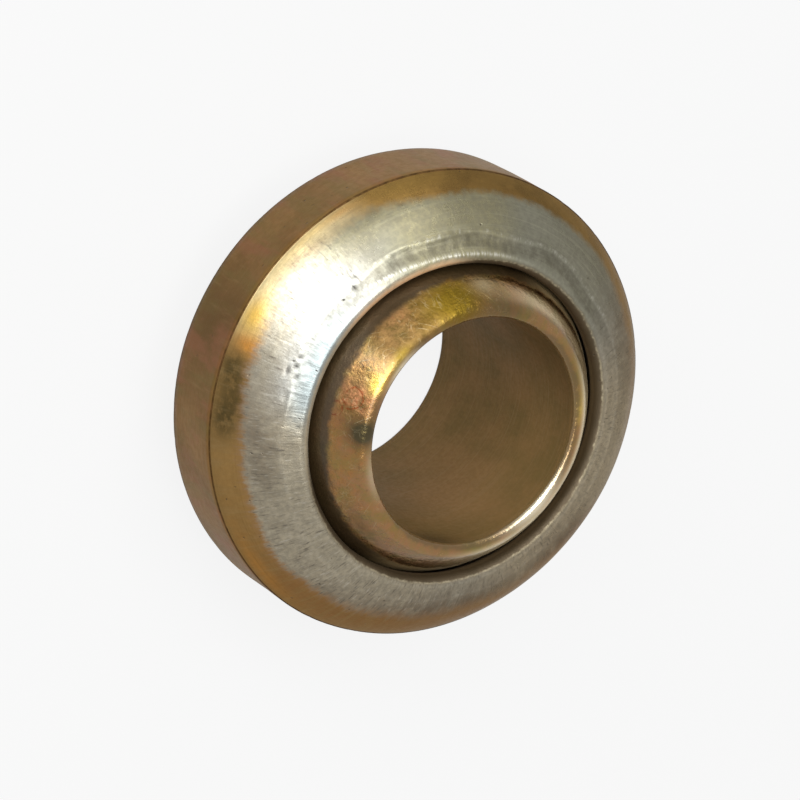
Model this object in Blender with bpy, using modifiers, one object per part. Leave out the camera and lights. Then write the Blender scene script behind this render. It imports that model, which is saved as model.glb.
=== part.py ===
"""Weld-in ball socket joint: a drilled steel ball that swivels in a ring swaged round it.

The joint's centre is the origin. The ball stands on its lower end with its bore along Z, and
the ring leans a little on the ball, about X. Both pieces are turned, and the same front and
back. The ring's seat is a spherical zone that reaches past the ball's equator both ways, so the
ball can turn to any angle but never leave.
"""
import math

import bpy

# Ball, in metres
BORE_DIAMETER = 0.0283  # running hole for a 28 mm pin
BALL_WIDTH = 0.0302  # over the two end lands
LAND_WIDTH = 0.0008  # flat ring round each end of the bore, with the bore's chamfer
BORE_CHAMFER = 0.0002
END_ROUNDING = 0.0015  # between an end land and the sphere

# Seat inside the ring
SEAT_CLEARANCE = 0.0003  # running gap between the sphere and its seat
SEAT_WRAP = math.radians(27.6)  # how far the seat reaches past the equator, each way
MOUTH_DEPTH = 0.0008  # straight wall between the seat and the lip's rounding

# Swaged lip, from the mouth out to the fold that the swaging die leaves
LIP_ROUNDING = 0.0010
LIP_SLOPE = math.radians(30)  # steepness of the lip where its rounding runs out
LIP_LAND = 0.0033  # from the mouth's wall out to the fold
FOLD_DROP = 0.00105  # from the lip's crest down to the fold
FOLD_STEP = 0.0001  # the lip's foot lies this much lower than the fold
FOLD_RUN = 0.0003  # and this much further in

# Shoulder and welded band
SHOULDER_SWELL = 0.00053  # how far the shoulder bulges past a straight cone
RING_WALL = 0.00725  # from the seat's equator out to the band
BAND_WIDTH = 0.0096  # straight outer band, where the ring is welded in
EDGE_BREAK = 0.00015

# Lean of the ring on the standing ball
RING_LEAN = math.radians(3.5)

# Sizes that follow: the sphere passes round both end roundings, and the ring is built out from it
ROUNDING_CENTRE = (BORE_DIAMETER / 2 + LAND_WIDTH, BALL_WIDTH / 2 - END_ROUNDING)
SPHERE_RADIUS = math.hypot(*ROUNDING_CENTRE) + END_ROUNDING
SEAT_RADIUS = SPHERE_RADIUS + SEAT_CLEARANCE
RING_RADIUS = SEAT_RADIUS + RING_WALL

# Facets
TURN_STEPS = 72
SPHERE_STEPS = 24
SEAT_STEPS = 16
SHOULDER_STEPS = 6
LIP_STEPS = 5
ROUNDING_STEPS = 4
MERGE_DISTANCE = 0.00001
SHARP_ANGLE = math.radians(24)

# Finishes
YELLOW_ZINC = (0.47, 0.33, 0.13, 1.0)
SWAGED_ZINC = (0.42, 0.39, 0.31, 1.0)


def arc(centre, radius, start, end, steps):
    """Points on a circle from one angle to another, both ends included."""
    angles = [start + (end - start) * i / steps for i in range(steps + 1)]
    return [(centre[0] + radius * math.cos(a), centre[1] + radius * math.sin(a)) for a in angles]


def bowed(first, last, swell, steps):
    """Points on the shallow arc from first to last that bulges by swell to the left of the way."""
    across = (last[0] - first[0], last[1] - first[1])
    length = math.hypot(*across)
    left = (-across[1] / length, across[0] / length)
    radius = length ** 2 / (8 * swell) + swell / 2
    centre = (
        (first[0] + last[0]) / 2 - left[0] * (radius - swell),
        (first[1] + last[1]) / 2 - left[1] * (radius - swell),
    )
    start = math.atan2(first[1] - centre[1], first[0] - centre[0])
    end = math.atan2(last[1] - centre[1], last[0] - centre[0])
    return arc(centre, radius, start, end, steps)


def mirrored(points):
    """The same points below the middle plane, in the order that carries an outline on."""
    return [(radius, -height) for radius, height in reversed(points)]


def ball_outline():
    """Half section of the ball: chamfer, end land, rounding, sphere, and the same below."""
    bore = BORE_DIAMETER / 2
    end = BALL_WIDTH / 2
    latitude = math.atan2(ROUNDING_CENTRE[1], ROUNDING_CENTRE[0])
    upper = [(bore, end - BORE_CHAMFER), (bore + BORE_CHAMFER, end)]
    upper += arc(ROUNDING_CENTRE, END_ROUNDING, math.pi / 2, latitude, ROUNDING_STEPS)
    sphere = arc((0.0, 0.0), SPHERE_RADIUS, latitude, -latitude, SPHERE_STEPS)
    return upper + sphere[1:-1] + mirrored(upper)


def ring_outline():
    """Half section of the ring: over the upper lip, down the outside, and up the seat."""
    mouth = SEAT_RADIUS * math.cos(SEAT_WRAP)
    seat_end = SEAT_RADIUS * math.sin(SEAT_WRAP)
    lip_centre = (mouth + LIP_ROUNDING, seat_end + MOUTH_DEPTH)
    fold = (mouth + LIP_LAND, lip_centre[1] + LIP_ROUNDING - FOLD_DROP)
    lip_foot = (fold[0] - FOLD_RUN, fold[1] - FOLD_STEP)
    band_edge = (RING_RADIUS - EDGE_BREAK, BAND_WIDTH / 2)
    upper = [(mouth, seat_end)]
    upper += arc(lip_centre, LIP_ROUNDING, math.pi, math.pi / 2 - LIP_SLOPE, LIP_STEPS)
    upper.append(lip_foot)
    upper += bowed(fold, band_edge, SHOULDER_SWELL, SHOULDER_STEPS)
    upper.append((RING_RADIUS, BAND_WIDTH / 2 - EDGE_BREAK))
    seat = arc((0.0, 0.0), SEAT_RADIUS, -SEAT_WRAP, SEAT_WRAP, SEAT_STEPS)
    return upper + mirrored(upper) + seat[1:-1]


def metal(name, colour, roughness):
    """A plain metal finish."""
    material = bpy.data.materials.new(name)
    material.use_nodes = True
    shader = material.node_tree.nodes["Principled BSDF"]
    shader.inputs["Base Color"].default_value = colour
    shader.inputs["Metallic"].default_value = 1.0
    shader.inputs["Roughness"].default_value = roughness
    material.diffuse_color = colour
    return material


def turned(name, outline, material, collection):
    """Turn a closed outline of (radius, height) points about Z into one solid."""
    section = bpy.data.meshes.new(name + "_section")
    points = [(radius, 0.0, height) for radius, height in outline]
    edges = [(i, (i + 1) % len(points)) for i in range(len(points))]
    section.from_pydata(points, edges, [])
    piece = bpy.data.objects.new(name, section)
    collection.objects.link(piece)
    screw = piece.modifiers.new("Turning", "SCREW")
    screw.axis = "Z"
    screw.angle = 2 * math.pi
    screw.steps = TURN_STEPS
    screw.render_steps = TURN_STEPS
    screw.use_merge_vertices = True
    screw.merge_threshold = MERGE_DISTANCE
    bpy.context.view_layer.update()
    depsgraph = bpy.context.evaluated_depsgraph_get()
    solid = bpy.data.meshes.new_from_object(piece.evaluated_get(depsgraph))
    piece.modifiers.clear()
    piece.data = solid
    bpy.data.meshes.remove(section)
    solid.name = name
    solid.shade_smooth()
    solid.set_sharp_from_angle(angle=SHARP_ANGLE)
    solid.materials.append(material)
    return piece


def build():
    """Clear the scene, then make the ball and the ring in a collection of their own."""
    for old in list(bpy.data.objects):
        bpy.data.objects.remove(old)
    joint = bpy.data.collections.new("ball_socket_joint")
    bpy.context.scene.collection.children.link(joint)
    turned("ball", ball_outline(), metal("yellow_zinc", YELLOW_ZINC, 0.3), joint)
    ring = turned("socket_ring", ring_outline(), metal("swaged_zinc", SWAGED_ZINC, 0.4), joint)
    ring.rotation_euler.x = RING_LEAN


build()
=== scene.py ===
"""The looks of a weld-in ball socket joint.

A drilled ball, plated yellow, swivels in a plated ring. Swaging the ring's lips over the ball has
rubbed the yellow off the shoulders, down to grey zinc, and left a fold round each lip.
"""
import math
from types import SimpleNamespace

import bpy
import numpy as np
from mathutils import Matrix, Vector


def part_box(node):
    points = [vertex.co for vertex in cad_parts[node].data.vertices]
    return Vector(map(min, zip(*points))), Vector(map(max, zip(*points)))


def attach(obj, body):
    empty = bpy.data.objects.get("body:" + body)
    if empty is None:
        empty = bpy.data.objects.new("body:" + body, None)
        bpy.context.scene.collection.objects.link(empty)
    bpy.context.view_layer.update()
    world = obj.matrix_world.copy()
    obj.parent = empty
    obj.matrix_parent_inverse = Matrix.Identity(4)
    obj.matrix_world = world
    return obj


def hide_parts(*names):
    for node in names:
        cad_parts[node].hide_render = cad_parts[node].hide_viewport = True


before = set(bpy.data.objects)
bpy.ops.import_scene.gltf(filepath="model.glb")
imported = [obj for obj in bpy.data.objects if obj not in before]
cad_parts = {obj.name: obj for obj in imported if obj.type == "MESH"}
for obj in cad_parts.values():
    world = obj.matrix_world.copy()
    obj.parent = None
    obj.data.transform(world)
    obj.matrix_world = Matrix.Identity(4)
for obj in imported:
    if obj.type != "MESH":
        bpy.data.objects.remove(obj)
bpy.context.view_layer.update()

# Sizes are in millimetres. These come from the frame
MM = 0.001
ball_low, ball_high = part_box("ball")
ring_low, ring_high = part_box("socket_ring")
SPHERE_RADIUS = (ball_high.x - ball_low.x) / 2 / MM
BALL_END = ball_high.z / MM
RING_RADIUS = (ring_high.x - ring_low.x) / 2 / MM

# Ball
BORE_RADIUS = 14.15
END_ROUNDING = 1.5
NOSE_END = math.radians(106)  # where the nose's rounding gives way to the bore's softer edge

# Ring
RING_LEAN = math.radians(3.5)
SEAT_CLEARANCE = 0.3
SEAT_RADIUS = SPHERE_RADIUS + SEAT_CLEARANCE
SEAT_WRAP = math.radians(27.6)
MOUTH_DEPTH = 0.8
LIP_ROUNDING = 1.0
LIP_SLOPE = math.radians(30)
LIP_LAND = 3.3
FOLD_DROP = 1.05
SHOULDER_SWELL = 0.53
BAND_WIDTH = 9.6
BAND_EDGE_ROUNDING = 0.15

# Steps round each turned surface, and the radii at which its patterns are unrolled
TURNS = 512
RING_ROLL = 25.0
BALL_ROLL = 17.0
LOWER_SHIFT = math.radians(120)  # the lower half wears the upper one's marks, turned this far round

# Heights of the fine relief
SHOULDER_WAVES = 0.018
LIP_WRINKLES = 0.012
HAMMERING = 0.004
SCAR_DEPTH = 0.12
SECOND_FOLD = 0.04
BAND_WAVES = 0.012
BALL_WAVES = 0.010
BALL_SINK = 0.025  # keeps the waves inside the frame's sphere
BORE_WAVES = 0.008

# Sectors that a mark covers, each (degrees round its middle, half width, softness) in degrees
RING_SECTORS = {
    "drag": (310, 55, 40),
    "satin": (185, 33, 26),
    # Some sectors place painted light: the shade near the lip's crest, the lip's lit side and the highlight
    # on the gold.
    "shaded": (266, 10, 16),
    "dusty": (80, 28, 36),
    "wrinkled": (215, 10, 14),
    "rosy": (226, 13, 18),
    "lit": (254, 34, 26),
    "shine": (246, 12, 14),
}
BALL_SECTORS = {
    "near": (250, 58, 45),
    # The next two mark where fill light is painted in: the far side, and round 140 degrees.
    "far": (76, 33, 40),
    "fill_light_patch": (140, 25, 30),
    # The far side, where the grime and the lip's shadow are painted paler as fill light.
    "pale_grime": (80, 78, 22),
}

# Stains and scars, with some painted light and shade among the patches, as noted at each. Each is (degrees
# round, mm out from the mouth or bore, or up a wall, half width in degrees, half length in mm, strength)
LIP_SCARS = (
    (239, 5.0, 0.7, 0.3, 1.0),
    (237, 6.0, 0.4, 0.2, 0.7),
    (261, 5.5, 0.6, 0.25, 0.6),
    (265, 5.3, 0.5, 0.35, 1.0),
    (268, 5.3, 0.7, 0.3, 1.0),
    (271, 4.8, 0.5, 0.3, 0.8),
    (270, 6.1, 1.2, 0.2, 0.7),
)
SHOULDER_PATCHES = {
    "olive": (
        # The three patches from 274 to 288 degrees paint the reflection of something dark.
        (274, 12.4, 4, 1.6, 0.8),
        (281, 11.3, 8, 2.7, 0.9),
        (288, 12.2, 4.5, 1.6, 0.7),
        (100, 11.0, 12, 2.0, 0.4),
        (170, 11.8, 22, 2.6, 0.3),
        (192, 12.0, 12, 2.4, 0.2),
    ),
    "red": ((20, 10.5, 36, 4.5, 0.9), (338, 11.0, 18, 3.5, 0.5)),
    "smoke": (
        (303, 7.2, 24, 1.9, 0.7),
        (268, 7.8, 7, 2.6, 0.7),
        (18, 6.5, 26, 2.6, 0.6),
        (122, 6.6, 28, 2.4, 0.6),
        (345, 8.4, 14, 1.6, 0.5),
        (286, 3.4, 12, 1.6, 0.6),
    ),
    "orange": (
        (268, 11.4, 2.5, 1.9, 0.9),
        (229, 13.2, 5, 0.6, 0.35),
        (330, 12.6, 12, 1.0, 0.4),
        (71, 7.4, 3, 1.6, 0.5),
    ),
    "brown": (
        (65, 10.2, 10, 4.4, 1.2),
        (28, 9.5, 36, 5.0, 0.75),
        (122, 10.5, 16, 3.5, 0.6),
        (288, 8.5, 12, 3.5, 0.35),
    ),
    # The patch at 261 degrees is yellow plating painted bright where the highlight falls.
    "yellow": ((261, 12.4, 5, 1.6, 1.0), (236, 13.4, 12, 0.6, 0.4), (212, 12.6, 12, 1.8, 0.2)),
}
BAND_PATCHES = {
    # Darker and lighter sectors round the band.
    "dark": ((268, 0.0, 16, 8.0, 0.9), (120, 0.0, 20, 8.0, 0.7)),
    "light": ((212, 0.0, 18, 8.0, 0.7), (30, 0.0, 24, 8.0, 0.6)),
}
BALL_PATCHES = {
    "olive": (
        # The patch at 284 degrees paints the reflection of something dark.
        (284, 1.9, 6, 1.9, 1.7),
        (247, 1.9, 4, 0.5, 0.5),
        (271, 1.4, 4, 1.0, 0.4),
        (190, 1.6, 16, 1.6, 0.8),
        (110, 4.5, 12, 1.5, 0.3),
    ),
    "green": ((212, 3.4, 14, 3.4, 1.4), (246, 1.8, 5, 0.6, 1.0), (135, 3.0, 12, 2.5, 0.6)),
    "pink": (
        (271, 4.0, 5, 3.0, 0.9),
        (236, 5.2, 8, 1.6, 0.25),
        (352, 3.4, 14, 3.0, 0.3),
        (90, 4.0, 16, 3.0, 0.3),
    ),
    "pale": ((197, 4.8, 5, 1.2, 1.0), (176, 4.2, 14, 1.6, 0.5)),
    # The spots at 62 and 250 degrees paint highlights on the rim.
    "bare": ((62, 0.7, 16, 0.8, 1.0), (250, 0.7, 11, 0.4, 0.6), (305, 0.8, 12, 0.6, 0.25)),
    "scuff": ((236, 4.2, 15, 3.2, 1.8), (272, 4.0, 8, 2.6, 0.9), (330, 4.5, 14, 1.2, 0.5)),
    # The spot at 262 degrees paints a yellow highlight.
    "bright": ((262, 2.2, 4, 0.8, 1.2), (114, 1.0, 7, 0.6, 0.8), (252, 1.3, 10, 0.6, 0.3)),
}
BORE_PATCHES = {
    "brown": ((45, 2.0, 26, 9.0, 0.8), (200, 0.0, 30, 9.0, 0.5)),
    # The dark patches near the mouth are a painted shadow.
    "painted_mouth_shadow": ((4, 14.4, 17, 3.8, 1.0), (140, 14.0, 34, 4.5, 0.4)),
}
STAIN_RINGS = ((271, 4.2, 1.2), (277, 6.0, 0.8))  # on the ball: degrees round, mm out, radius in mm

# How far the shoulder's yellow reaches from the band in mm, and how softly it ends, by degrees round
YELLOW_REACH = (
    (0, 5.6), (30, 6.0), (58, 5.6), (85, 2.4), (115, 3.8), (150, 3.2), (200, 3.2),
    (218, 3.0), (234, 2.3), (250, 2.0), (264, 3.3), (290, 4.3), (332, 4.4), (346, 5.4),
)
YELLOW_SOFTNESS = (
    (0, 1.8), (60, 2.4), (120, 1.8), (152, 0.8), (200, 0.6), (226, 1.1),
    (250, 1.6), (268, 0.9), (292, 0.6), (334, 0.65), (346, 1.1),
)

# Studio
FLOOR_SIZE = 6.0
FLOOR_GREY = (176, 176, 175)
FLOOR_WHITE = 0.86
FLOOR_WHITE_IN_METAL = 0.1
SURROUND_TINT = (1.0, 0.985, 0.96, 1.0)
SURROUND_LIGHT = 0.3
SURROUND_IN_METAL = 0.75

# Lamps: name, azimuth and elevation in degrees, distance and size in metres, radiance, colour
LAMPS = (
    ("key", -117, 35, 1.0, (0.50, 0.66), 6.5, (0.95, 0.98, 1.0)),
    ("side", -162, 32, 1.1, (0.62, 0.45), 1.8, (1.0, 0.99, 0.96)),
    ("top", -122, 69, 1.0, (0.94, 0.52), 5.5, (0.97, 0.99, 1.0)),
)

# Camera, in degrees and millimetres
CAMERA_AZIMUTH = -101.97
CAMERA_ELEVATION = 52.13
CAMERA_ROLL = 120.76
CAMERA_DISTANCE = 609.0
CAMERA_LENS = 227.08
SENSOR_WIDTH = 36.0
AIM_RIGHT = -0.97
AIM_UP = -0.92


def paint(red, green, blue):
    """A colour given as a screen shows it, 0 to 255 a channel, in the linear light that shaders use."""
    shown = np.array((red, green, blue)) / 255
    linear = np.where(shown <= 0.04045, shown / 12.92, ((shown + 0.055) / 1.055) ** 2.4)
    return (*linear.tolist(), 1.0)


# Sections and turned surfaces


def arc(centre, radius, start, end, steps):
    """Points centre + radius (cos a, sin a), with a going evenly from start to end."""
    a = np.linspace(start, end, steps + 1)
    return np.column_stack((centre[0] + radius * np.cos(a), centre[1] + radius * np.sin(a)))


def bowed(first, last, swell, steps):
    """Points on the circle through both ends that bulges by swell to the left of the way.

    Its radius is half chord squared over twice the swell, plus half the swell.
    """
    first, last = np.array(first), np.array(last)
    chord = last - first
    length = np.hypot(*chord)
    left = np.array((-chord[1], chord[0])) / length
    radius = length ** 2 / (8 * swell) + swell / 2
    centre = (first + last) / 2 - left * (radius - swell)
    start = math.atan2(*(first - centre)[::-1])
    end = math.atan2(*(last - centre)[::-1])
    return arc(centre, radius, start, end, steps)


def straight(first, last, steps):
    """Evenly spaced points from first to last."""
    return np.linspace(first, last, steps + 1)


def chained(*runs):
    """Runs of points end to end, each point that two runs share kept once."""
    return np.vstack([runs[0]] + [run[1:] for run in runs[1:]])


def mirrored(points):
    """The same points below the middle plane, in the order that carries a section on."""
    return points[::-1] * (1, -1)


def lengths(section):
    """How far along the closed section each point lies from the first."""
    steps = np.hypot(*np.diff(section, axis=0).T)
    return np.concatenate(((0.0,), np.cumsum(steps)))


def section_normals(section):
    """Unit normals, outward where the section runs down its outer side: the way on, turned left."""
    way = np.roll(section, -1, axis=0) - np.roll(section, 1, axis=0)
    way /= np.hypot(*way.T)[:, None]
    return np.column_stack((-way[:, 1], way[:, 0]))


def linked(name, data):
    """A new object in the scene."""
    new = bpy.data.objects.new(name, data)
    bpy.context.scene.collection.objects.link(new)
    return new


def turned(name, section, relief, lean, marks):
    """A closed section turned about Z, then leant about X.

    Point (i, j) is (r cos t, r sin t, z), with t = 2 pi j / TURNS and (r, z) the section's point i
    moved out along its normal by relief i, j. marks are named values kept at each point.
    """
    turn = np.arange(TURNS) * (2 * np.pi / TURNS)
    normals = section_normals(section)
    radius = section[:, :1] + normals[:, :1] * relief
    height = section[:, 1:] + normals[:, 1:] * relief
    x = radius * np.cos(turn)
    y = radius * np.sin(turn) * math.cos(lean) - height * math.sin(lean)
    z = radius * np.sin(turn) * math.sin(lean) + height * math.cos(lean)
    points = np.stack((x, y, z), axis=-1).reshape(-1, 3) * MM
    rows, columns = len(section), TURNS
    row, column = np.meshgrid(np.arange(rows), np.arange(columns), indexing="ij")
    next_row, next_column = (row + 1) % rows, (column + 1) % columns
    corners = np.stack(
        (
            row * columns + column,
            next_row * columns + column,
            next_row * columns + next_column,
            row * columns + next_column,
        ),
        axis=-1,
    ).reshape(-1, 4)
    mesh = bpy.data.meshes.new(name)
    mesh.vertices.add(len(points))
    mesh.vertices.foreach_set("co", points.ravel())
    mesh.loops.add(corners.size)
    mesh.loops.foreach_set("vertex_index", corners.ravel())
    mesh.polygons.add(len(corners))
    mesh.polygons.foreach_set("loop_start", np.arange(0, corners.size, 4))
    for mark, values in marks.items():
        flat = np.broadcast_to(values, (rows, columns) + np.shape(values)[2:])
        kind, field = ("FLOAT_VECTOR", "vector") if flat.ndim == 3 else ("FLOAT", "value")
        attribute = mesh.attributes.new(mark, kind, "POINT")
        attribute.data.foreach_set(field, flat.astype(np.float32).ravel())
    mesh.update(calc_edges=True)
    mesh.validate()
    mesh.shade_smooth()
    return linked(name, mesh)


# Uneven surfaces


def ripple(turn, way, seed, cycles, wavelengths, waves=24):
    """A soft uneven field of about unit height: a sum of cosines of random phase.

    Each wave has a whole number of cycles round the turn and its own wavelength along the section,
    so the field closes on itself.
    """
    draw = np.random.default_rng(seed)
    field = np.zeros(np.broadcast_shapes(turn.shape, way.shape))
    for _ in range(waves):
        count = draw.integers(cycles[0], cycles[1] + 1)
        pitch = draw.uniform(*wavelengths) * draw.choice((-1, 1))
        field += np.cos(count * turn + 2 * np.pi * way / pitch + draw.uniform(0, 2 * np.pi))
    return field * math.sqrt(2 / waves)


def bump(way, centre, width):
    """A bell curve of unit height across the section."""
    return np.exp(-(((way - centre) / width) ** 2))


def gap_round(turn, centre):
    """The angle from centre to turn, in degrees, the short way round."""
    return (np.degrees(turn) - centre + 180) % 360 - 180


def sector(turn, centre, half, soft):
    """1 within half of centre, in degrees, and an even S-curve down to 0 over the next soft degrees."""
    share = np.clip((half + soft - np.abs(gap_round(turn, centre))) / soft, 0, 1)
    return share * share * (3 - 2 * share)


def read_off(turn, table):
    """Values read off a table of (degrees round, value): straight between its lines, and closed."""
    degrees, values = zip(*table)
    return np.interp(np.degrees(turn), degrees, values, period=360)


def rolled(turn, way, radius):
    """The surface rolled up at one radius: (radius cos t, radius sin t, way), for patterns that close."""
    return np.stack(np.broadcast_arrays(radius * np.cos(turn), radius * np.sin(turn), way), axis=-1)


def spots(turn, way, places):
    """The sum of soft oval spots, each e to the minus squared distance over its half sizes."""
    field = np.zeros(np.broadcast_shapes(turn.shape, way.shape))
    for around, along, wide, long, strength in places:
        field += strength * np.exp(
            -((gap_round(turn, around) / wide) ** 2) - ((way - along) / long) ** 2
        )
    return field


def pits(turn, way, radius, seed, count, span, sizes, depths):
    """Shallow round dents scattered over a stretch of the section, as one height field."""
    draw = np.random.default_rng(seed)
    field = np.zeros(np.broadcast_shapes(turn.shape, way.shape))
    for _ in range(count):
        around = draw.uniform(0, 360)
        along = draw.uniform(*span)
        size = draw.uniform(*sizes)
        away = np.hypot(np.radians(gap_round(turn, around)) * radius, way - along)
        field -= draw.uniform(*depths) * np.exp(-((away / size) ** 2))
    return field


# Node helpers


def feed(tree, value, socket):
    """Link another node's output to a socket, or set the socket's own value."""
    if isinstance(value, bpy.types.NodeSocket):
        tree.links.new(value, socket)
    else:
        socket.default_value = value


def fill(tree, sockets, **values):
    """Feed sockets that are named as keywords, with _ for a space."""
    for name, value in values.items():
        feed(tree, value, sockets[name.replace("_", " ")])


def put(tree, kind, settings=None, **values):
    """Add a node, with its settings and its sockets' values."""
    new = tree.nodes.new(kind)
    for name, value in (settings or {}).items():
        setattr(new, name, value)
    fill(tree, new.inputs, **values)
    return new


def calc(tree, operation, *values):
    """One sum on single values."""
    new = tree.nodes.new("ShaderNodeMath")
    new.operation = operation
    for value, socket in zip(values, new.inputs):
        feed(tree, value, socket)
    return new.outputs[0]


def product(tree, *values):
    """Two or more values multiplied."""
    total = values[0]
    for value in values[1:]:
        total = calc(tree, "MULTIPLY", total, value)
    return total


def flipped(tree, value):
    """One less the value."""
    return calc(tree, "SUBTRACT", 1.0, value)


def added(tree, *parts):
    """The sum of (value, weight) pairs."""
    total = None
    for value, weight in parts:
        part = calc(tree, "MULTIPLY", value, weight)
        total = part if total is None else calc(tree, "ADD", total, part)
    return total


def tone(colour):
    """A colour in linear light where it is given as a screen shows it; another node's output as it is."""
    return paint(*colour) if isinstance(colour, tuple) else colour


def blend(tree, share, first, second):
    """Mix two colours by a share."""
    new = tree.nodes.new("ShaderNodeMix")
    new.data_type = "RGBA"
    feed(tree, share, new.inputs[0])
    feed(tree, tone(first), new.inputs[6])
    feed(tree, tone(second), new.inputs[7])
    return new.outputs[2]


def layered(tree, colour, *layers):
    """Colours laid one over another. Each layer is (share, strength, its colour)."""
    for share, strength, over in layers:
        colour = blend(tree, product(tree, share, strength), colour, over)
    return colour


def spread(tree, value, zero, one):
    """An S-curve from 0, where the value is zero, to 1, where it is one, and level outside."""
    new = tree.nodes.new("ShaderNodeMapRange")
    new.interpolation_type = "SMOOTHSTEP"
    for number, socket in zip((value, zero, one), new.inputs):
        feed(tree, number, socket)
    return new.outputs[0]


def ramp(tree, factor, stops):
    """A colour ramp through (place, colour) stops."""
    new = tree.nodes.new("ShaderNodeValToRGB")
    elements = new.color_ramp.elements
    while len(elements) < len(stops):
        elements.new(0.5)
    for element, (place, colour) in zip(elements, stops):
        element.position = place
        element.color = tone(colour)
    feed(tree, factor, new.inputs[0])
    return new.outputs[0]


def mark(tree, name, output="Fac"):
    """A named value that the mesh keeps at its points."""
    return put(tree, "ShaderNodeAttribute", {"attribute_name": name}).outputs[output]


def stretched(tree, vector, scale):
    """The same coordinates with each axis scaled."""
    return put(tree, "ShaderNodeMapping", Vector=vector, Scale=scale).outputs[0]


def noise(tree, vector, scale, detail=3.0, roughness=0.55, distortion=0.0):
    """Soft noise, 0 to 1."""
    new = put(tree, "ShaderNodeTexNoise", Vector=vector, Scale=scale, Detail=detail)
    new.inputs["Roughness"].default_value = roughness
    new.inputs["Distortion"].default_value = distortion
    return new.outputs[0]


def group(name, outputs, **numbers):
    """A node group fed by a Vector and named numbers: its tree, what it is given and what it gives."""
    tree = bpy.data.node_groups.new(name, "ShaderNodeTree")
    tree.interface.new_socket("Vector", in_out="INPUT", socket_type="NodeSocketVector")
    for label, value in numbers.items():
        socket = tree.interface.new_socket(label, in_out="INPUT", socket_type="NodeSocketFloat")
        socket.default_value = value
    for label in outputs:
        tree.interface.new_socket(label, in_out="OUTPUT", socket_type="NodeSocketFloat")
    start = tree.nodes.new("NodeGroupInput")
    end = tree.nodes.new("NodeGroupOutput")
    return tree, start.outputs, end.inputs


def use(tree, shared, **values):
    """Place a node group, and give its outputs."""
    new = put(tree, "ShaderNodeGroup", {"node_tree": shared}, **values)
    return new.outputs


def mottle_group():
    """Cloudy patches: two noises of different size added, then cut soft or hard round a level."""
    tree, given, result = group("Mottle", ("Mask",), Size=2.0, Level=0.5, Softness=0.1)
    scale = calc(tree, "DIVIDE", 1.0, given["Size"])
    broad = noise(tree, given["Vector"], scale, 2.0, 0.5)
    fine = noise(tree, given["Vector"], product(tree, scale, 4.3), 3.0, 0.6)
    both = calc(tree, "ADD", product(tree, broad, 0.7), product(tree, fine, 0.3))
    low = calc(tree, "SUBTRACT", given["Level"], given["Softness"])
    high = calc(tree, "ADD", given["Level"], given["Softness"])
    feed(tree, spread(tree, both, low, high), result["Mask"])
    return tree


def streak_group():
    """Short fine streaks along the section, as the die drags them: noise squeezed round the turn."""
    tree, given, result = group("Streaks", ("Mask", "Height"), Pitch=0.3, Length=2.0)
    around = calc(tree, "DIVIDE", 1.0, given["Pitch"])
    along = calc(tree, "DIVIDE", 1.0, given["Length"])
    scale = put(tree, "ShaderNodeCombineXYZ", X=around, Y=around, Z=along).outputs[0]
    lines = noise(tree, stretched(tree, given["Vector"], scale), 1.0, 3.0, 0.6)
    feed(tree, spread(tree, lines, 0.55, 0.72), result["Mask"])
    feed(tree, lines, result["Height"])
    return tree


def turning_group():
    """Tool marks round the turn: noise squeezed along the section, so that each line runs round."""
    tree, given, result = group("Turning Marks", ("Mask", "Height"), Pitch=0.2)
    along = calc(tree, "DIVIDE", 1.0, given["Pitch"])
    scale = put(tree, "ShaderNodeCombineXYZ", X=0.05, Y=0.05, Z=along).outputs[0]
    lines = noise(tree, stretched(tree, given["Vector"], scale), 1.0, 4.0, 0.7)
    feed(tree, spread(tree, lines, 0.5, 0.7), result["Mask"])
    feed(tree, lines, result["Height"])
    return tree


def speck_group():
    """Small dark specks and pits: the middles of some of a Voronoi pattern's cells."""
    tree, given, result = group("Specks", ("Mask",), Spacing=1.0, Share=0.3, Size=0.2)
    scale = calc(tree, "DIVIDE", 1.0, given["Spacing"])
    warp = put(tree, "ShaderNodeTexNoise", Vector=given["Vector"], Scale=product(tree, scale, 2.0))
    shifted = tree.nodes.new("ShaderNodeVectorMath")
    shifted.operation = "MULTIPLY_ADD"
    feed(tree, warp.outputs["Color"], shifted.inputs[0])
    shifted.inputs[1].default_value = (0.6, 0.6, 0.6)
    feed(tree, given["Vector"], shifted.inputs[2])
    cells = put(tree, "ShaderNodeTexVoronoi", Vector=shifted.outputs[0], Scale=scale)
    near = spread(tree, cells.outputs["Distance"], given["Size"], 0.0)
    pick = put(tree, "ShaderNodeSeparateColor", Color=cells.outputs["Color"]).outputs[0]
    chosen = calc(tree, "LESS_THAN", pick, given["Share"])
    feed(tree, product(tree, near, chosen), result["Mask"])
    return tree


def curl_group():
    """Wandering hairlines: where a warped noise crosses its middle value, broken up by a broader one."""
    tree, given, result = group("Curls", ("Mask",), Size=2.0, Width=0.02)
    scale = calc(tree, "DIVIDE", 1.0, given["Size"])
    field = noise(tree, given["Vector"], scale, 2.0, 0.5, 1.6)
    away = calc(tree, "ABSOLUTE", calc(tree, "SUBTRACT", field, 0.5))
    line = spread(tree, away, given["Width"], 0.0)
    breaks = spread(tree, noise(tree, given["Vector"], product(tree, scale, 0.8), 2.0), 0.48, 0.6)
    feed(tree, product(tree, line, breaks), result["Mask"])
    return tree


MOTTLE = mottle_group()
STREAKS = streak_group()
TURNING = turning_group()
SPECKS = speck_group()
CURLS = curl_group()


def mottled(tree, vector, size, level, softness):
    """Cloudy patches, from the mottle group."""
    return use(tree, MOTTLE, Vector=vector, Size=size, Level=level, Softness=softness)["Mask"]


def curled(tree, vector, size, width):
    """Wandering hairlines, from the curl group."""
    return use(tree, CURLS, Vector=vector, Size=size, Width=width)["Mask"]


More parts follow.
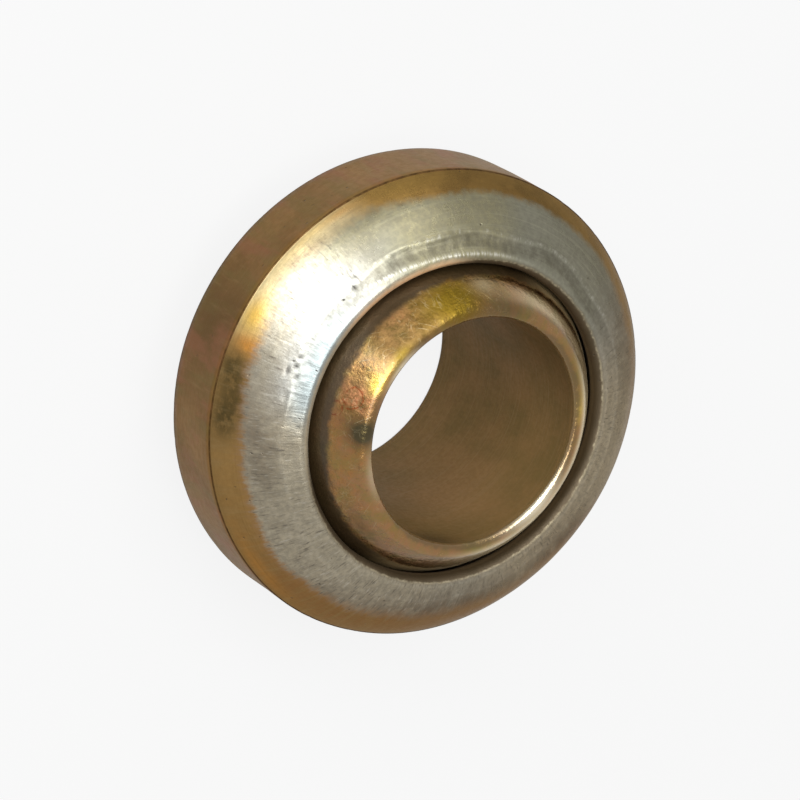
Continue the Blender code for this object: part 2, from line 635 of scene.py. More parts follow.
def metal(name):
    """An all-metal material: its tree and its shader's inputs."""
    material = bpy.data.materials.new(name)
    material.use_nodes = True
    shader = material.node_tree.nodes["Principled BSDF"]
    shader.inputs["Metallic"].default_value = 1.0
    return material, material.node_tree, shader.inputs


def relieved(tree, *parts):
    """A normal bent by the sum of (value, height in millimetres) pairs."""
    return put(tree, "ShaderNodeBump", Height=added(tree, *parts), Distance=MM).outputs[0]


# Ring


def ring_section():
    """The ring's section: from the upper seat end over lip and band to the lower one, then the seat.

    Also gives how far each point lies along the surface from the mouth, both ways alike and less
    than 0 on the seat, and where the crest, the fold and the band's edge lie on that way.
    """
    mouth = SEAT_RADIUS * math.cos(SEAT_WRAP)
    seat_end = SEAT_RADIUS * math.sin(SEAT_WRAP)
    lip_centre = (mouth + LIP_ROUNDING, seat_end + MOUTH_DEPTH)
    fold = (mouth + LIP_LAND, lip_centre[1] + LIP_ROUNDING - FOLD_DROP)
    edge = (RING_RADIUS - BAND_EDGE_ROUNDING, BAND_WIDTH / 2)
    wall = straight((mouth, seat_end), (mouth, lip_centre[1]), 3)
    lip = arc(lip_centre, LIP_ROUNDING, math.pi, math.pi / 2 - LIP_SLOPE, 14)
    land = straight(lip[-1], fold, 16)
    shoulder = bowed(fold, edge, SHOULDER_SWELL, 44)
    corner = straight(edge, (RING_RADIUS, BAND_WIDTH / 2 - BAND_EDGE_ROUNDING), 2)
    upper = chained(wall, lip, land, shoulder, corner)
    band = straight(upper[-1], mirrored(upper)[0], 10)
    outer = chained(upper, band, mirrored(upper))
    seat = arc((0.0, 0.0), SEAT_RADIUS, -SEAT_WRAP, SEAT_WRAP, 18)[1:-1]
    way = lengths(outer)
    out = np.concatenate((np.minimum(way, way[-1] - way), np.abs(seat[:, 1]) - seat_end))
    crest = MOUTH_DEPTH + LIP_ROUNDING * math.pi / 2
    places = {
        "crest": crest,
        "fold": lengths(chained(wall, lip, land))[-1],
        "edge": lengths(chained(wall, lip, land, shoulder))[-1],
    }
    return np.vstack((outer, seat)), out[:, None], places


def laid_out(section, out):
    """Where the points lie: turn, side (1 above, -1 below), turn as the marks count it, 1 if outside."""
    turn = (np.arange(TURNS) * (2 * np.pi / TURNS))[None, :]
    side = np.where(section[:, 1:] < 0, -1.0, 1.0)
    facing = turn + np.where(side < 0, LOWER_SHIFT, 0.0)
    return turn, side, facing, (out > 0).astype(float)


def round_ripple(turn, out, seed, cycles, waves):
    """A ripple that changes round the turn only."""
    return ripple(turn, 0 * out, seed, cycles, (50, 90), waves)


def fold_relief(facing, out, places):
    """The wavering fold with the valley inside it, and a faint second fold nearer the crest.

    Gives the relief in mm, how far out from the fold each point lies, and the second fold's share.
    """
    clear = sector(facing, 205, 32, 30)
    shift = 0.3 * clear + 0.3 * sector(facing, 242, 8, 22) + 0.14 * round_ripple(facing, out, 5, (3, 17), 12)
    from_fold = out - places["fold"] - shift
    depth = 0.25 + 0.85 * clear * (1 - 0.7 * sector(facing, 250, 14, 22))
    depth = depth + 0.12 * round_ripple(facing, out, 6, (2, 30), 16)
    depth = depth + 0.07 * clear * round_ripple(facing, out, 16, (40, 90), 24)
    fold = 0.07 * bump(from_fold, 0.2, 0.3)
    fold = fold - 0.12 * bump(from_fold, -0.75, 0.6) - 0.06 * bump(from_fold, -1.5, 0.6)
    second_line = places["crest"] + 0.35 + 0.0008 * np.clip(gap_round(facing, 198), 0, 40) ** 2
    second_fold = bump(out, second_line, 0.24) * sector(facing, 210, 20, 12)
    return depth * fold + SECOND_FOLD * second_fold, from_fold, second_fold


def shoulder_relief(turn, out, side, drag, places):
    """The shoulder's waves, the lip's wrinkles, faint hammering and dents, in mm."""
    waves = ripple(turn, out, 8, (3, 14), (5, 16)) * np.clip((places["edge"] - out) / 2, 0, 1)
    wrinkles = (0.35 + 0.3 * drag) * bump(out, places["crest"] + 1.4, 1.7)
    wrinkles = wrinkles * ripple(turn, out, 7, (90, 220), (5, 18), 36)
    hammered = ripple(turn, out * side, 13, (14, 60), (2.5, 6), 48)
    dents = pits(turn, out * side, 24.0, 9, 60, (-13, 13), (0.18, 0.45), (0.01, 0.04))
    return SHOULDER_WAVES * waves + LIP_WRINKLES * wrinkles + HAMMERING * hammered + dents


def band_relief(turn, height):
    """The band's dents and slight waves, which only ever cut into it, in mm."""
    dents = pits(turn, height, RING_RADIUS, 10, 40, (-4.2, 4.2), (0.15, 0.4), (0.01, 0.04))
    waves = BAND_WAVES * (ripple(turn, height, 11, (2, 12), (6, 20), 16) - 2.2)
    return dents + np.minimum(waves, 0)


def edge_nicks(turn, way, edge, seed):
    """Small nicks along one edge of the band, in mm."""
    return pits(turn, way, RING_RADIUS, seed, 90, (edge - 0.1, edge + 0.1), (0.15, 0.3), (0.01, 0.03))


def ring_piece():
    """The swaged ring, fine enough to show the fold, the lip's wrinkles and the dents."""
    section, out, places = ring_section()
    turn, side, facing, outside = laid_out(section, out)
    height = section[:, 1:]
    edge = places["edge"]
    sectors = {name: sector(facing, *where) for name, where in RING_SECTORS.items()}
    fold, from_fold, second_fold = fold_relief(facing, out, places)
    scars = spots(facing, out, LIP_SCARS)
    shoulder = outside * (out < edge)
    fine = shoulder_relief(turn, out, side, sectors["drag"], places)
    nicks = edge_nicks(turn, out * side, -edge, 14) + edge_nicks(turn, out * side, edge, 15)
    relief = shoulder * (fold + fine - SCAR_DEPTH * scars)
    relief = relief + outside * (1 - shoulder) * band_relief(turn, height) + outside * nicks
    reach = read_off(facing, YELLOW_REACH) + 0.15 * round_ripple(facing, out, 12, (3, 14), 12)
    outer_warmth = sector(facing, 222, 14, 12) * np.clip((out - 7) / 3, 0, 1)
    marks = {
        "rolled": rolled(turn, lengths(section)[:, None], RING_ROLL),
        "out": out,
        "bare": edge - out - reach,
        "soft": read_off(facing, YELLOW_SOFTNESS),
        "from_fold": from_fold,
        "second_fold": second_fold,
        "valley": 0.3 + 0.7 * sector(facing, 200, 46, 44),
        "warm": np.maximum(sector(facing, 203, 12, 13), outer_warmth),
        "cool": sector(facing, 258, 16, 14) * np.clip((9.0 - out) / 3, 0.2, 1),
        "scar": np.clip(scars, 0, 1),
    }
    marks.update(sectors)
    marks.update({name: spots(facing, out, where) for name, where in SHOULDER_PATCHES.items()})
    marks.update({name: spots(turn, height, where) for name, where in BAND_PATCHES.items()})
    return turned("swaged_ring", section, relief, RING_LEAN, marks), places


def shoulder_patterns(tree, crest):
    """The marks and patterns that the shoulder's finishes share, by name."""
    names = ("out", "drag", "satin", "shine", "lit", "from_fold", "valley")
    p = SimpleNamespace(**{name: mark(tree, name) for name in names})
    p.around = mark(tree, "rolled", "Vector")
    p.clouds = mottled(tree, p.around, 3.5, 0.5, 0.12)
    p.grain = mottled(tree, p.around, 0.55, 0.5, 0.14)
    p.smudge = mottled(tree, p.around, 0.9, 0.48, 0.14)
    p.dashes = use(tree, STREAKS, Vector=p.around, Pitch=0.26, Length=1.5)
    p.long_dashes = use(tree, STREAKS, Vector=p.around, Pitch=0.6, Length=5.0)
    p.brushed = use(tree, TURNING, Vector=p.around, Pitch=0.3)
    p.specks = use(tree, SPECKS, Vector=p.around, Spacing=1.2, Share=0.16, Size=0.17)["Mask"]
    p.rubbed = flipped(tree, p.satin)
    p.ragged = calc(tree, "SUBTRACT", noise(tree, p.around, 1.1, 3.0, 0.6), 0.5)
    p.inward = added(tree, (p.out, 1.0), (p.ragged, 0.5))
    p.on_rim = spread(tree, p.inward, crest + 0.35, crest - 0.6)
    p.near_lip = spread(tree, p.out, crest + 3.4, crest + 0.6)
    # The mouth wall inside the rim, for grime and painted shade; it reaches less far on the lit side.
    p.grimy = spread(tree, added(tree, (p.inward, 1.0), (p.lit, 0.3)), 1.35, 0.5)
    return p


def bare_zinc(tree, p):
    """The grey zinc that swaging rubbed bare, with the die's drag marks, the painted shade along the fold,
    painted highlights on the fold's ridge and the second fold, and a paler far side of dust and painted fill
    light.
    """
    wisps = mottled(tree, stretched(tree, p.around, (1.0, 1.0, 0.45)), 1.3, 0.47, 0.16)
    brown = product(tree, mark(tree, "brown"), spread(tree, wisps, -0.8, 0.9))
    dashed = product(tree, p.dashes["Mask"], p.rubbed, spread(tree, wisps, -0.6, 1.1))
    bright = product(tree, spread(tree, p.dashes["Height"], 0.44, 0.3), p.drag)
    valley = product(tree, spread(tree, p.from_fold, -2.3, -1.5), spread(tree, p.from_fold, 0.0, -0.4))
    shade = added(tree, (p.smudge, 0.35), (p.valley, 0.25))
    broken = spread(tree, p.dashes["Height"], 0.4, 0.6)
    # A painted highlight along the fold's ridge, broken up.
    ridge = product(tree, spread(tree, p.from_fold, -0.3, 0.1), spread(tree, p.from_fold, 0.6, 0.25))
    ridge = product(tree, ridge, spread(tree, p.smudge, 0.9, 0.1), p.valley, broken)
    return layered(
        tree,
        blend(tree, p.clouds, (138, 136, 126), (156, 154, 144)),
        (p.drag, 0.8, (178, 167, 144)),
        (p.satin, 0.7, (132, 131, 112)),
        (mark(tree, "warm"), 0.7, (152, 145, 112)),
        (mark(tree, "cool"), 0.8, (160, 162, 160)),
        # Paler zinc round the far side: dust and painted fill light.
        (mark(tree, "dusty"), 0.75, (184, 169, 142)),
        (product(tree, mark(tree, "smoke"), wisps), 0.75, (108, 98, 82)),
        (brown, 1.0, (80, 52, 31)),
        (p.grain, 0.4, (112, 108, 98)),
        (dashed, 0.8, (90, 84, 76)),
        (bright, 0.35, (200, 194, 182)),
        (product(tree, p.brushed["Mask"], p.satin), 0.3, (172, 170, 146)),
        # Painted shade in the valley inside the fold.
        (product(tree, valley, shade), p.valley, (88, 84, 72)),
        (ridge, 0.5, (190, 188, 176)),
        # A painted highlight line along the second fold.
        (product(tree, mark(tree, "second_fold"), broken), 0.6, (216, 214, 204)),
    )


def shoulder_gold(tree, p):
    """The yellow plating that is left near the band, stained olive, red and orange, with a painted highlight
    where the lamps reflect and a painted dark reflection near 280 degrees.
    """
    tinted = spread(tree, p.long_dashes["Height"], 0.35, 0.65)
    return layered(
        tree,
        blend(tree, p.clouds, (130, 101, 58), (148, 116, 66)),
        (p.drag, 0.8, (160, 126, 76)),
        # Painted highlight: the gold is washed pale where the lamps reflect.
        (p.shine, 0.8, (240, 222, 172)),
        # Yellow plating, painted bright at 261 degrees where the highlight falls.
        (mark(tree, "yellow"), 1.0, (224, 182, 86)),
        (mark(tree, "red"), 0.8, (142, 98, 60)),
        (product(tree, tinted, p.drag, flipped(tree, p.shine)), 0.5, (150, 122, 78)),
        (mark(tree, "orange"), 1.0, (206, 140, 58)),
        # Olive stains, with a painted dark reflection near 280 degrees.
        (mark(tree, "olive"), spread(tree, p.smudge, -1.0, 0.9), (88, 73, 42)),
        (p.grain, 0.2, (120, 92, 50)),
        (product(tree, p.long_dashes["Mask"], p.drag), 0.1, (186, 158, 112)),
        (p.brushed["Mask"], 0.25, (112, 86, 46)),
    )


def bareness(tree, p):
    """How far in from the gold's ragged edge each point lies, in mm: less than 0 in the gold."""
    fringe = calc(tree, "SUBTRACT", p.long_dashes["Height"], 0.5)
    fringe = product(tree, fringe, p.rubbed, flipped(tree, p.shine))
    short_fringe = product(tree, calc(tree, "SUBTRACT", p.dashes["Height"], 0.5), p.rubbed)
    return added(tree, (mark(tree, "bare"), 1.0), (fringe, 1.6), (short_fringe, 1.6), (p.ragged, 1.4))


def rimmed(tree, p, crest, colour):
    """The colour with the lip's rim, painted pale on its lit side and dark elsewhere, a painted glint along
    the crest, painted shade near and under the crest, grime and painted shade on the mouth wall, then specks
    and scars over all.
    """
    # Painted light: the rim is pale and rosy on the lit side and dark where the lamps miss it.
    rim = layered(
        tree,
        blend(tree, p.clouds, (64, 54, 38), (78, 66, 49)),
        (p.lit, 1.0, (180, 169, 146)),
        (mark(tree, "rosy"), 1.0, (240, 200, 156)),
    )
    # A painted glint along the crest, left out where the highlight falls.
    away = calc(tree, "ABSOLUTE", added(tree, (p.inward, 1.0), (1.0, 0.3 - crest)))
    glint = product(tree, spread(tree, away, 0.22, 0.0), spread(tree, p.grain, -0.3, 1.2))
    # Painted shade under the crest, away from the lit side.
    under = product(tree, spread(tree, p.inward, crest - 0.4, crest - 0.8), flipped(tree, p.lit))
    return layered(
        tree,
        colour,
        # Painted cool shade near the crest.
        (product(tree, mark(tree, "shaded"), p.near_lip), 0.75, (128, 138, 140)),
        (p.on_rim, 1.0, rim),
        (product(tree, glint, flipped(tree, p.shine)), 0.4, (184, 172, 142)),
        (under, 0.65, (66, 56, 42)),
        # Grime and painted shade on the mouth wall, painted paler on the lit side.
        (p.grimy, 1.0, blend(tree, p.lit, (76, 62, 42), (104, 88, 64))),
        (p.specks, 0.75, (62, 56, 48)),
        (mark(tree, "scar"), 0.9, (44, 42, 40)),
    )


def shoulder_zinc(places):
    """Grey zinc rubbed bare, running out into yellow plating near the band and brown inside the lip."""
    material, tree, surface = metal("shoulder_zinc")
    crest = places["crest"]
    p = shoulder_patterns(tree, crest)
    bare = bareness(tree, p)
    soft = mark(tree, "soft")
    pink = product(tree, spread(tree, bare, -1.3, 0.1), p.rubbed)
    gold = layered(tree, shoulder_gold(tree, p), (pink, 0.5, (152, 118, 90)))
    colour = blend(tree, spread(tree, bare, product(tree, soft, -1.0), soft), gold, bare_zinc(tree, p))
    dull = calc(tree, "MAXIMUM", product(tree, p.grimy, 0.8), product(tree, p.on_rim, 0.5))
    rough = added(
        tree,
        (1.0, 0.25),
        (p.clouds, 0.04),
        (p.grain, 0.05),
        (p.drag, 0.05),
        (p.dashes["Mask"], 0.06),
        (p.grimy, 0.15),
        (product(tree, p.on_rim, flipped(tree, p.lit)), 0.2),
        (product(tree, p.near_lip, p.satin), 0.12),
    )
    plated = product(tree, spread(tree, bare, 0.4, -0.8), p.lit)
    wrinkled = added(tree, (p.drag, 0.012), (mark(tree, "wrinkled"), 0.03))
    normal = relieved(
        tree,
        (noise(tree, p.around, 4.0, 4.0, 0.65), 0.014),
        (product(tree, p.dashes["Height"], p.rubbed), 0.012),
        (product(tree, p.dashes["Height"], p.near_lip), wrinkled),
        (product(tree, p.brushed["Height"], p.satin), 0.012),
        (p.specks, -0.05),
    )
    fill(
        tree,
        surface,
        Base_Color=rimmed(tree, p, crest, colour),
        Metallic=flipped(tree, dull),
        Roughness=rough,
        Coat_Weight=product(tree, plated, added(tree, (p.shine, 0.5), (1.0, 0.12))),
        Coat_Roughness=0.22,
        Specular_Tint=paint(236, 224, 208),
        Normal=normal,
    )
    return material


def band_zinc(places):
    """The brown satin plating of the outer band, with fine turning marks and a dark line at each edge."""
    material, tree, surface = metal("band_zinc")
    around = mark(tree, "rolled", "Vector")
    out = mark(tree, "out")
    clouds = mottled(tree, around, 5.0, 0.5, 0.15)
    grain = mottled(tree, around, 0.7, 0.5, 0.15)
    reds = mottled(tree, stretched(tree, around, (1.0, 1.0, 0.35)), 2.6, 0.56, 0.1)
    greens = mottled(tree, stretched(tree, around, (1.3, 1.3, 0.3)), 3.0, 0.54, 0.1)
    dashes = use(tree, STREAKS, Vector=around, Pitch=0.7, Length=6.0)
    turning = use(tree, TURNING, Vector=around, Pitch=0.22)
    specks = use(tree, SPECKS, Vector=around, Spacing=1.4, Share=0.22, Size=0.15)["Mask"]
    edge = places["edge"]
    ragged = product(tree, spread(tree, out, edge + 0.5, edge + 0.3), spread(tree, grain, 1.4, -0.4))
    ragged = product(tree, ragged, added(tree, (mark(tree, "drag"), -0.6), (1.0, 0.8)))
    sharp = product(tree, spread(tree, out, edge + 0.34, edge + 0.2), added(tree, (grain, -0.3), (1.0, 0.95)))
    colour = layered(
        tree,
        blend(tree, clouds, (138, 103, 58), (156, 118, 70)),
        (mark(tree, "light"), 1.0, (170, 130, 78)),
        (mark(tree, "dark"), 1.0, (112, 84, 46)),
        (grain, 0.25, (116, 88, 50)),
        (reds, 0.5, (158, 104, 76)),
        (greens, 0.35, (126, 112, 62)),
        (dashes["Mask"], 0.15, (178, 144, 100)),
        (calc(tree, "MAXIMUM", ragged, sharp), 1.0, (70, 50, 28)),
        (specks, 0.7, (58, 44, 28)),
    )
    rough = added(tree, (1.0, 0.4), (grain, 0.06), (turning["Mask"], 0.05))
    normal = relieved(tree, (turning["Height"], 0.02), (grain, 0.005), (specks, -0.03))
    fill(tree, surface, Base_Color=colour, Roughness=rough, Normal=normal)
    return material


def seat_steel():
    """The dark, greasy steel of the seat inside the ring."""
    material, tree, surface = metal("seat_steel")
    clouds = mottled(tree, mark(tree, "rolled", "Vector"), 3.0, 0.5, 0.2)
    colour = blend(tree, clouds, (66, 56, 42), (88, 76, 58))
    fill(tree, surface, Base_Color=colour, Metallic=0.5, Roughness=added(tree, (1.0, 0.38), (clouds, 0.1)))
    return material


# Ball


def ball_section():
    """The ball's section: the bore's soft edge, nose, sphere, the same below, then the bore's wall.

    Also gives how far each point lies along the surface from the bore, both ways alike and less
    than 0 in the bore. The edge's radius is the one that meets both the nose and the bore's wall.
    """
    height = BALL_END - END_ROUNDING
    radius = math.sqrt((SPHERE_RADIUS - END_ROUNDING) ** 2 - height ** 2)
    latitude = math.atan2(height, radius)
    lean = math.cos(NOSE_END)
    edge_rounding = (radius + END_ROUNDING * lean - BORE_RADIUS) / (1 + lean)
    inner = END_ROUNDING - edge_rounding
    edge_centre = (radius + inner * lean, height + inner * math.sin(NOSE_END))
    upper = chained(
        arc(edge_centre, edge_rounding, math.pi, NOSE_END, 8),
        arc((radius, height), END_ROUNDING, NOSE_END, latitude, 12),
        arc((0.0, 0.0), SPHERE_RADIUS, latitude, 0.0, 44),
    )
    outer = chained(upper, mirrored(upper))
    wall = straight(outer[-1], outer[0], 36)[1:-1]
    way = lengths(outer)
    out = np.concatenate((np.minimum(way, way[-1] - way), np.abs(wall[:, 1]) - edge_centre[1]))
    return np.vstack((outer, wall)), out[:, None]


def ball_piece():
    """The drilled ball, with the dents and waviness of a rough-ground one."""
    section, out = ball_section()
    along = lengths(section)[:, None]
    turn, side, facing, outside = laid_out(section, out)
    height = section[:, 1:]
    on_ball = np.clip((out - 0.9) / 1.5, 0, 1)
    clear_of_seat = np.clip((11.5 - out) / 2.5, 0, 1)
    waves = ripple(turn, along, 21, (3, 16), (5, 18))
    dents = pits(turn, out * side, 18.0, 22, 60, (-16, 16), (0.2, 0.6), (0.008, 0.03))
    nicks = pits(turn, out * side, 15.0, 24, 60, (-1.1, 1.1), (0.12, 0.3), (0.005, 0.014))
    bore = BORE_WAVES * ripple(turn, height, 23, (2, 10), (6, 20), 16)
    relief = on_ball * (BALL_WAVES * waves + dents - BALL_SINK) + outside * nicks + (1 - outside) * bore
    marks = {
        "rolled": rolled(turn, np.where(out < 0, height, along), BALL_ROLL),
        "skewed": rolled(turn - 0.055 * along, along, BALL_ROLL),
        "out": out,
    }
    marks.update({name: clear_of_seat * sector(facing, *where) for name, where in BALL_SECTORS.items()})
    marks.update({name: spots(facing, out, where) for name, where in BALL_PATCHES.items()})
    marks.update({name: spots(turn, height, where) for name, where in BORE_PATCHES.items()})
    return turned("drilled_ball", section, relief, 0.0, marks)


def ball_patterns(tree):
    """The marks and patterns that the ball's finish is made of, by name."""
    names = ("out", "near", "scuff", "green", "pink", "bare", "pale_grime")
    p = SimpleNamespace(**{name: mark(tree, name) for name in names})
    p.around = mark(tree, "rolled", "Vector")
    p.wander = mottled(tree, p.around, 1.3, 0.5, 0.14)
    p.hairs = curled(tree, stretched(tree, p.around, (0.6, 0.6, 1.3)), 1.7, 0.012)
    scratches = use(tree, STREAKS, Vector=mark(tree, "skewed", "Vector"), Pitch=0.3, Length=4.5)["Height"]
    scratches = product(tree, spread(tree, scratches, 0.65, 0.74), p.near, spread(tree, p.wander, -0.3, 0.9))
    p.scratches = product(tree, scratches, spread(tree, p.out, 0.9, 1.8))
    # Grime and the lip's painted shadow, where the ball runs in under the lip.
    p.grimy = spread(tree, added(tree, (p.out, 1.0), (p.wander, 0.4)), 5.9, 6.8)
    # Painted fill light: the far side, and a band round 140 degrees, are painted paler and made less metallic
    # where the lamps barely reach.
    dusty = product(tree, spread(tree, p.out, 1.0, 2.2), mark(tree, "far"))
    fill_light_patch = product(tree, spread(tree, p.out, 2.0, 3.4), spread(tree, p.out, 5.6, 4.2), mark(tree, "fill_light_patch"))
    p.dusty = calc(tree, "MAXIMUM", dusty, product(tree, fill_light_patch, 0.5))
    p.seated = spread(tree, added(tree, (p.out, 1.0), (p.wander, 0.8)), 10.0, 12.5)
    p.free = flipped(tree, p.seated)
    return p


def chromate(tree, p):
    """The plating's colours: gold that drifts to green and to pink, patches, hairlines and scratches, with a
    painted yellow highlight and a painted dark reflection.
    """
    drift = noise(tree, stretched(tree, p.around, (1.0, 1.0, 0.7)), 0.2, 3.0, 0.6, 0.8)
    stops = (
        (0.32, (130, 116, 62)),
        (0.42, (150, 121, 68)),
        (0.50, (154, 118, 70)),
        (0.58, (160, 118, 78)),
        (0.68, (148, 122, 70)),
    )
    amber = mottled(tree, p.around, 3.0, 0.53, 0.09)
    sage = mottled(tree, stretched(tree, p.around, (1.2, 1.2, 0.8)), 2.2, 0.56, 0.09)
    flecks = mottled(tree, p.around, 0.5, 0.6, 0.05)
    scuffed = blend(tree, p.wander, (80, 62, 36), (122, 98, 60))
    curls = curled(tree, p.around, 3.4, 0.035)
    fine_curls = curled(tree, stretched(tree, p.around, (1.0, 1.0, 0.6)), 2.2, 0.02)
    rings = ((stain_ring(tree, p.around, *ring), 0.8, (124, 60, 30)) for ring in STAIN_RINGS)
    return layered(
        tree,
        ramp(tree, drift, stops),
        (p.wander, 0.35, (138, 104, 60)),
        (product(tree, amber, p.near), 0.45, (172, 112, 58)),
        (sage, 0.4, (128, 118, 54)),
        (product(tree, flecks, p.near), 0.3, (98, 66, 34)),
        (calc(tree, "MINIMUM", p.scuff, 0.85), 1.0, scuffed),
        (p.green, 0.85, (130, 106, 34)),
        (mark(tree, "pale"), 0.7, (184, 164, 126)),
        (product(tree, p.pink, p.wander), 0.8, (190, 126, 92)),
        (product(tree, p.pink, curls), 0.6, (150, 78, 48)),
        # Bright yellow spots, the one at 262 degrees a painted highlight.
        (mark(tree, "bright"), 0.8, (222, 190, 90)),
        # Olive stains, with a painted dark reflection at 284 degrees.
        (mark(tree, "olive"), 0.85, (76, 66, 39)),
        (p.hairs, 0.12, (206, 184, 140)),
        (product(tree, fine_curls, p.near), 0.15, (224, 208, 168)),
        (p.scratches, 0.5, (216, 200, 160)),
        *rings,
    )


def ball_gold():
    """Yellow chromate on a polished ball: grime and the lip's painted shadow towards the seat, painted fill
    light across the far side, and burnished where it turns, with painted highlights on the rim.
    """
    material, tree, surface = metal("ball_gold")
    p = ball_patterns(tree)
    rim = spread(tree, added(tree, (p.out, 1.0), (p.wander, 0.3), (p.near, 0.8)), 1.45, 0.8)
    colour = layered(
        tree,
        chromate(tree, p),
        (rim, added(tree, (p.near, -0.4), (1.0, 0.75)), (112, 92, 62)),
        # Bare metal, with painted highlights on the rim at 62 and 250 degrees.
        (calc(tree, "MINIMUM", p.bare, 0.9), 1.0, (238, 226, 198)),
        # Grime and the lip's painted shadow: dark on the near side, painted paler with fill light on the far
        # side.
        (p.grimy, 0.95, blend(tree, p.pale_grime, (62, 48, 28), (136, 116, 82))),
        # Painted fill light: paler on the far side and round 140 degrees.
        (p.dusty, 0.88, (232, 213, 174)),
        (p.seated, 1.0, blend(tree, p.wander, (118, 107, 84), (134, 123, 99))),
    )
    caked = product(tree, p.grimy, added(tree, (p.pale_grime, 0.45), (1.0, 0.3)))
    dull = product(tree, calc(tree, "MAXIMUM", caked, product(tree, p.dusty, 0.6)), p.free)
    dull = calc(tree, "MAXIMUM", dull, product(tree, spread(tree, p.out, 0.6, 0.1), 0.6))
    # Bare spots on the near side, among them a painted highlight, are made partly matt so that their colour
    # shows.
    dull = calc(tree, "MAXIMUM", dull, product(tree, p.bare, p.near, 0.6))
    glazed = product(tree, spread(tree, p.scuff, 0.9, 0.2), spread(tree, p.green, 0.9, 0.2))
    rough = added(
        tree,
        (1.0, 0.2),
        (p.wander, 0.06),
        (p.hairs, 0.08),
        (product(tree, p.grimy, p.free), 0.2),
        (calc(tree, "MINIMUM", p.scuff, 1.0), 0.3),
    )
    uneven = product(tree, noise(tree, p.around, 0.9, 4.0, 0.6), added(tree, (p.free, 0.8), (1.0, 0.2)))
    ripples = noise(tree, p.around, 3.0, 3.0)
    fill(
        tree,
        surface,
        Base_Color=colour,
        Metallic=flipped(tree, dull),
        Roughness=rough,
        Coat_Weight=product(tree, glazed, 0.5),
        Coat_Roughness=0.15,
        Normal=relieved(tree, (p.wander, 0.006), (p.scratches, -0.01), (uneven, 0.12), (ripples, 0.012)),
    )
    return material


def stain_ring(tree, around, angle, along, radius):
    """A wavering dried ring on the ball, round a point in degrees round and mm out from the bore."""
    a = math.radians(angle)
    away = tree.nodes.new("ShaderNodeVectorMath")
    away.operation = "DISTANCE"
    feed(tree, around, away.inputs[0])
    away.inputs[1].default_value = (BALL_ROLL * math.cos(a), BALL_ROLL * math.sin(a), along)
    wobble = noise(tree, around, 0.9, 3.0, 0.6)
    off = added(tree, (away.outputs["Value"], 1.0), (wobble, 1.0), (1.0, -0.5 - radius))
    line = spread(tree, calc(tree, "ABSOLUTE", off), 0.2, 0.0)
    return product(tree, line, spread(tree, noise(tree, around, 1.6, 2.0), 0.36, 0.5))


def bore_zinc():
    """The matt brown plating of the bore, over fine boring marks, with a painted shadow near its mouth."""
    material, tree, surface = metal("bore_zinc")
    around = mark(tree, "rolled", "Vector")
    clouds = mottled(tree, around, 6.0, 0.5, 0.18)
    grain = mottled(tree, around, 0.6, 0.5, 0.15)
    turning = use(tree, TURNING, Vector=around, Pitch=0.3)
    colour = layered(
        tree,
        blend(tree, clouds, (132, 108, 60), (154, 120, 72)),
        (mark(tree, "brown"), 1.0, (164, 126, 80)),
        # Painted shadow near the bore's mouth.
        (mark(tree, "painted_mouth_shadow"), 1.0, (84, 66, 36)),
        (grain, 0.2, (104, 82, 46)),
        (turning["Mask"], 0.25, (176, 146, 106)),
    )
    rough = added(tree, (1.0, 0.42), (grain, 0.08))
    normal = relieved(tree, (turning["Height"], 0.03), (grain, 0.006))
    fill(tree, surface, Base_Color=colour, Metallic=0.55, Roughness=rough, Normal=normal)
    return material


def face_marks(piece, name):
    """A kept value at the middle of each face: the mean of its four corners."""
    values = np.empty(len(piece.data.vertices), dtype=np.float32)
    piece.data.attributes[name].data.foreach_get("value", values)
    corners = np.empty(len(piece.data.loops), dtype=np.int32)
    piece.data.loops.foreach_get("vertex_index", corners)
    return values[corners.reshape(-1, 4)].mean(axis=1)


def dressed(piece, body, node, finishes, which):
    """Give each face its finish by number, and seat the piece in the frame in place of its node."""
    for finish in finishes:
        piece.data.materials.append(finish)
    piece.data.polygons.foreach_set("material_index", which.astype(np.int32))
    piece.data.update()
    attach(piece, body)
    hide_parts(node)


# Studio


def toward(azimuth, elevation):
    """The unit vector out from the joint at these angles, in radians."""
    level = math.cos(elevation)
    return Vector((level * math.cos(azimuth), level * math.sin(azimuth), math.sin(elevation)))


def softbox(name, azimuth, elevation, distance, size, radiance, colour):
    """A soft lamp facing the joint. Its power is radiance times pi times its area.

    Directions are in degrees, distance and size in metres.
    """
    place = toward(math.radians(azimuth), math.radians(elevation)) * distance
    lamp = bpy.data.lights.new(name, "AREA")
    lamp.shape = "RECTANGLE"
    lamp.size, lamp.size_y = size
    lamp.energy = radiance * math.pi * size[0] * size[1]
    lamp.color = colour
    facing = place.to_track_quat("Z", "Y").to_matrix().to_4x4()
    linked(name, lamp).matrix_world = Matrix.Translation(place) @ facing


def seen_share(tree, camera_share, mirror_share):
    """How much of a backdrop's own white shows, to the camera and in metal."""
    rays = tree.nodes.new("ShaderNodeLightPath").outputs
    mirrored_rays = calc(tree, "MAXIMUM", rays["Is Glossy Ray"], rays["Is Transmission Ray"])
    in_metal = product(tree, mirrored_rays, mirror_share)
    return calc(tree, "ADD", product(tree, rays["Is Camera Ray"], camera_share), in_metal)


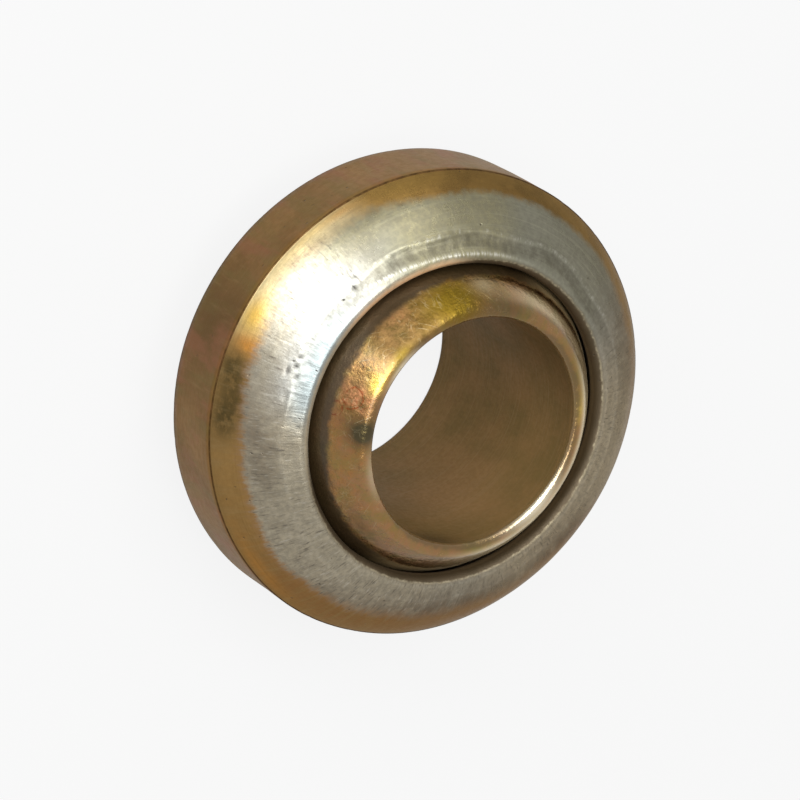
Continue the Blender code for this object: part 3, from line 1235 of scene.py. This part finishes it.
def pale_floor():
    """A plain floor with the joint's soft shadow: nearly white to the camera, faintly so in metal."""
    half = FLOOR_SIZE / 2
    height = -BALL_END * MM
    mesh = bpy.data.meshes.new("floor")
    mesh.from_pydata(
        [(-half, -half, height), (half, -half, height), (half, half, height), (-half, half, height)],
        [],
        [(0, 1, 2, 3)],
    )
    floor = linked("floor", mesh)
    material = bpy.data.materials.new("pale_floor")
    material.use_nodes = True
    tree = material.node_tree
    shader = tree.nodes["Principled BSDF"]
    shader.inputs["Base Color"].default_value = paint(*FLOOR_GREY)
    shader.inputs["Roughness"].default_value = 0.9
    white = put(tree, "ShaderNodeEmission", Color=paint(255, 255, 255), Strength=1.0)
    both = tree.nodes.new("ShaderNodeMixShader")
    feed(tree, seen_share(tree, FLOOR_WHITE, FLOOR_WHITE_IN_METAL), both.inputs[0])
    tree.links.new(shader.outputs[0], both.inputs[1])
    tree.links.new(white.outputs[0], both.inputs[2])
    tree.links.new(both.outputs[0], tree.nodes["Material Output"].inputs["Surface"])
    mesh.materials.append(material)


def surround():
    """An even light from all round: white to the camera, paler in metal than the light it gives."""
    world = bpy.data.worlds.new("studio")
    world.use_nodes = True
    tree = world.node_tree
    background = tree.nodes["Background"]
    background.inputs["Color"].default_value = SURROUND_TINT
    shown = seen_share(tree, 1 - SURROUND_LIGHT, SURROUND_IN_METAL - SURROUND_LIGHT)
    feed(tree, calc(tree, "ADD", shown, SURROUND_LIGHT), background.inputs["Strength"])
    bpy.context.scene.world = world


def studio():
    """Floor, surround and three soft lamps: a tall one near the camera, one to its left, one above."""
    pale_floor()
    surround()
    for lamp in LAMPS:
        softbox(*lamp)


def camera():
    """A long lens that looks down on the joint, rolled until the bore opens to the lower right."""
    a, e, roll = (math.radians(v) for v in (CAMERA_AZIMUTH, CAMERA_ELEVATION, CAMERA_ROLL))
    back = toward(a, e)
    level = Vector((-math.sin(a), math.cos(a), 0.0))
    upright = back.cross(level)
    right = level * math.cos(roll) + upright * math.sin(roll)
    up = back.cross(right)
    place = (back * CAMERA_DISTANCE + right * AIM_RIGHT + up * AIM_UP) * MM
    lens = bpy.data.cameras.new("camera")
    lens.lens = CAMERA_LENS
    lens.sensor_width = SENSOR_WIDTH
    lens.sensor_fit = "HORIZONTAL"
    lens.clip_start = 0.01
    holder = linked("camera", lens)
    holder.matrix_world = Matrix.Translation(place) @ Matrix((right, up, back)).transposed().to_4x4()
    bpy.context.scene.camera = holder


camera()
studio()
ring, ring_places = ring_piece()
ring_out = face_marks(ring, "out")
ring_finishes = (shoulder_zinc(ring_places), band_zinc(ring_places), seat_steel())
ring_which = np.where(ring_out < 0, 2, np.where(ring_out > ring_places["edge"], 1, 0))
dressed(ring, "socket", "socket_ring", ring_finishes, ring_which)
ball = ball_piece()
ball_which = face_marks(ball, "out") < 0
dressed(ball, "ball", "ball", (ball_gold(), bore_zinc()), ball_which)
bpy.context.scene.view_settings.view_transform = "Standard"
